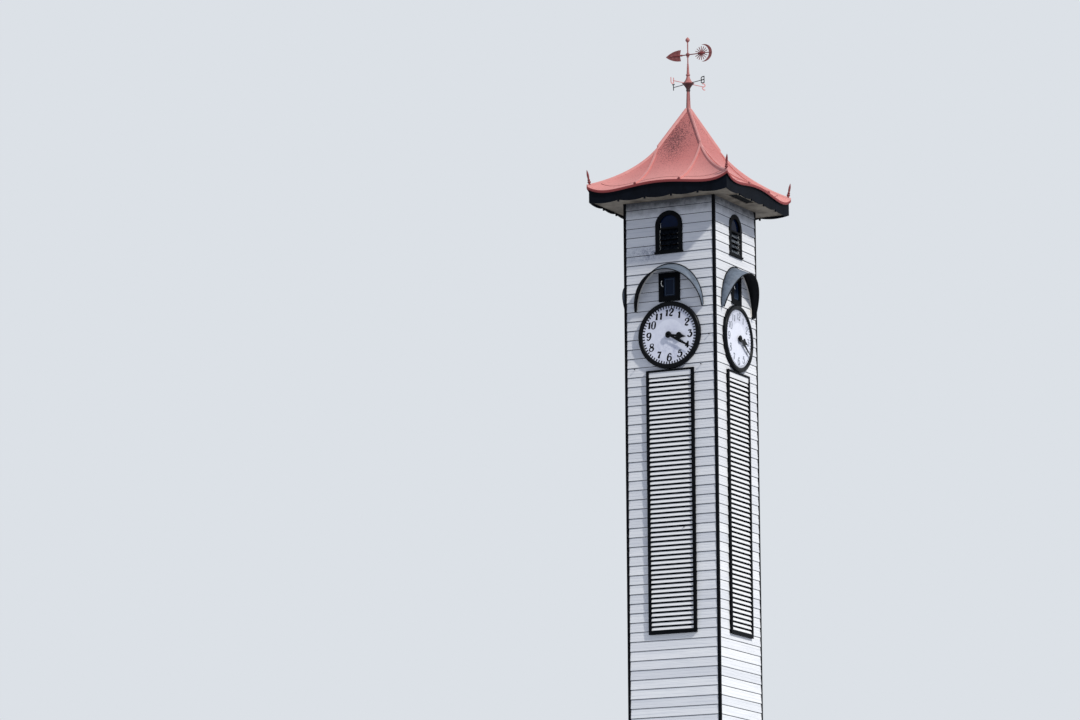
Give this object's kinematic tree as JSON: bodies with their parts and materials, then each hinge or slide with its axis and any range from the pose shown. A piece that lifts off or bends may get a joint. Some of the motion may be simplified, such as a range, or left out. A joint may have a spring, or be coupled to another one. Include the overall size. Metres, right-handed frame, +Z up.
{
  "type": "timber clock tower",
  "caption": "Square timber clock tower with louvred shaft, dials, hoods and arched windows under a flared sheet roof with a weather vane.",
  "frame": {"origin": "middle of the foot, at the underside of the concrete slab", "axes": "+Z up, -Y the front seen at the left in the picture, +X the right side seen in the picture"},
  "size_m": [3.2094, 3.2094, 15.6905],
  "materials": {
    "concrete": "rough",
    "white_boards": "weathered gloss paint",
    "black_trim": "gloss paint",
    "cream_soffit": "weathered paint",
    "bare_timber": "rough sawn",
    "white_slats": "weathered gloss paint",
    "dial_white": "enamel",
    "black_metal": "gloss paint",
    "hood_grey": "weathered paint",
    "hatch_blue": "gloss paint",
    "glass": "clear",
    "roof_red": "weathered paint",
    "roof_pink": "weathered paint",
    "vane_paint": "weathered paint"
  },
  "bodies": {
    "tower": {"clock_room_floor": "bare_timber", "compass_arms": "vane_paint", "corner_boards": "black_trim", "corner_finials": "vane_paint", "dial_rings": "black_metal", "dials": "dial_white", "fascia_back": "black_trim", "fascia_front": "black_trim", "fascia_left": "black_trim", "fascia_right": "black_trim", "foundation_slab": "concrete", "hatch_frames": "black_trim", "hatch_panels": "hatch_blue", "hoods": "hood_grey", "louvre_frames": "black_trim", "louvre_slats_back": "white_slats", "louvre_slats_front": "white_slats", "louvre_slats_left": "white_slats", "louvre_slats_right": "white_slats", "mast": "roof_pink", "plinth_kerb": "concrete", "rafters": "bare_timber", "roof_cap": "roof_red", "roof_rolls": "roof_pink", "roof_slope_back": "roof_red", "roof_slope_front": "roof_red", "roof_slope_left": "roof_red", "roof_slope_right": "roof_red", "soffit": "cream_soffit", "spindle": "vane_paint", "wall_back": "white_boards", "wall_front": "white_boards", "wall_left": "white_boards", "wall_right": "white_boards", "window_blades": "glass", "window_frames": "black_trim", "window_panes": "glass"},
    "vane": {"vane": "vane_paint"},
    "minute_hand_front": {"minute_hand_front": "black_metal"},
    "hour_hand_front": {"hour_hand_front": "black_metal"},
    "minute_hand_right": {"minute_hand_right": "black_metal"},
    "hour_hand_right": {"hour_hand_right": "black_metal"},
    "minute_hand_back": {"minute_hand_back": "black_metal"},
    "hour_hand_back": {"hour_hand_back": "black_metal"},
    "minute_hand_left": {"minute_hand_left": "black_metal"},
    "hour_hand_left": {"hour_hand_left": "black_metal"}
  },
  "joints": [
    {"name": "vane_turn", "type": "hinge", "parent": "tower", "child": "vane", "pos_m": [0, 0, 15.3105], "axis": [0, 0, 1], "continuous": true},
    {"name": "minute_front", "type": "hinge", "parent": "tower", "child": "minute_hand_front", "pos_m": [0, -1.075, 9.162], "axis": [0, 1, 0], "continuous": true},
    {"name": "hour_front", "type": "hinge", "parent": "tower", "child": "hour_hand_front", "pos_m": [0, -1.075, 9.162], "axis": [0, 1, 0], "continuous": true},
    {"name": "minute_right", "type": "hinge", "parent": "tower", "child": "minute_hand_right", "pos_m": [1.075, 0, 9.162], "axis": [-1, 0, 0], "continuous": true},
    {"name": "hour_right", "type": "hinge", "parent": "tower", "child": "hour_hand_right", "pos_m": [1.075, 0, 9.162], "axis": [-1, 0, 0], "continuous": true},
    {"name": "minute_back", "type": "hinge", "parent": "tower", "child": "minute_hand_back", "pos_m": [0, 1.075, 9.162], "axis": [0, -1, 0], "continuous": true},
    {"name": "hour_back", "type": "hinge", "parent": "tower", "child": "hour_hand_back", "pos_m": [0, 1.075, 9.162], "axis": [0, -1, 0], "continuous": true},
    {"name": "minute_left", "type": "hinge", "parent": "tower", "child": "minute_hand_left", "pos_m": [-1.075, 0, 9.162], "axis": [1, 0, 0], "continuous": true},
    {"name": "hour_left", "type": "hinge", "parent": "tower", "child": "hour_hand_left", "pos_m": [-1.075, 0, 9.162], "axis": [1, 0, 0], "continuous": true}
  ],
  "couplings": [
    {"joint": "hour_front", "follows": "minute_front", "ratio": 0.083333},
    {"joint": "minute_right", "follows": "minute_front", "ratio": 1},
    {"joint": "hour_right", "follows": "minute_front", "ratio": 0.083333},
    {"joint": "minute_back", "follows": "minute_front", "ratio": 1},
    {"joint": "hour_back", "follows": "minute_front", "ratio": 0.083333},
    {"joint": "minute_left", "follows": "minute_front", "ratio": 1},
    {"joint": "hour_left", "follows": "minute_front", "ratio": 0.083333}
  ]
}
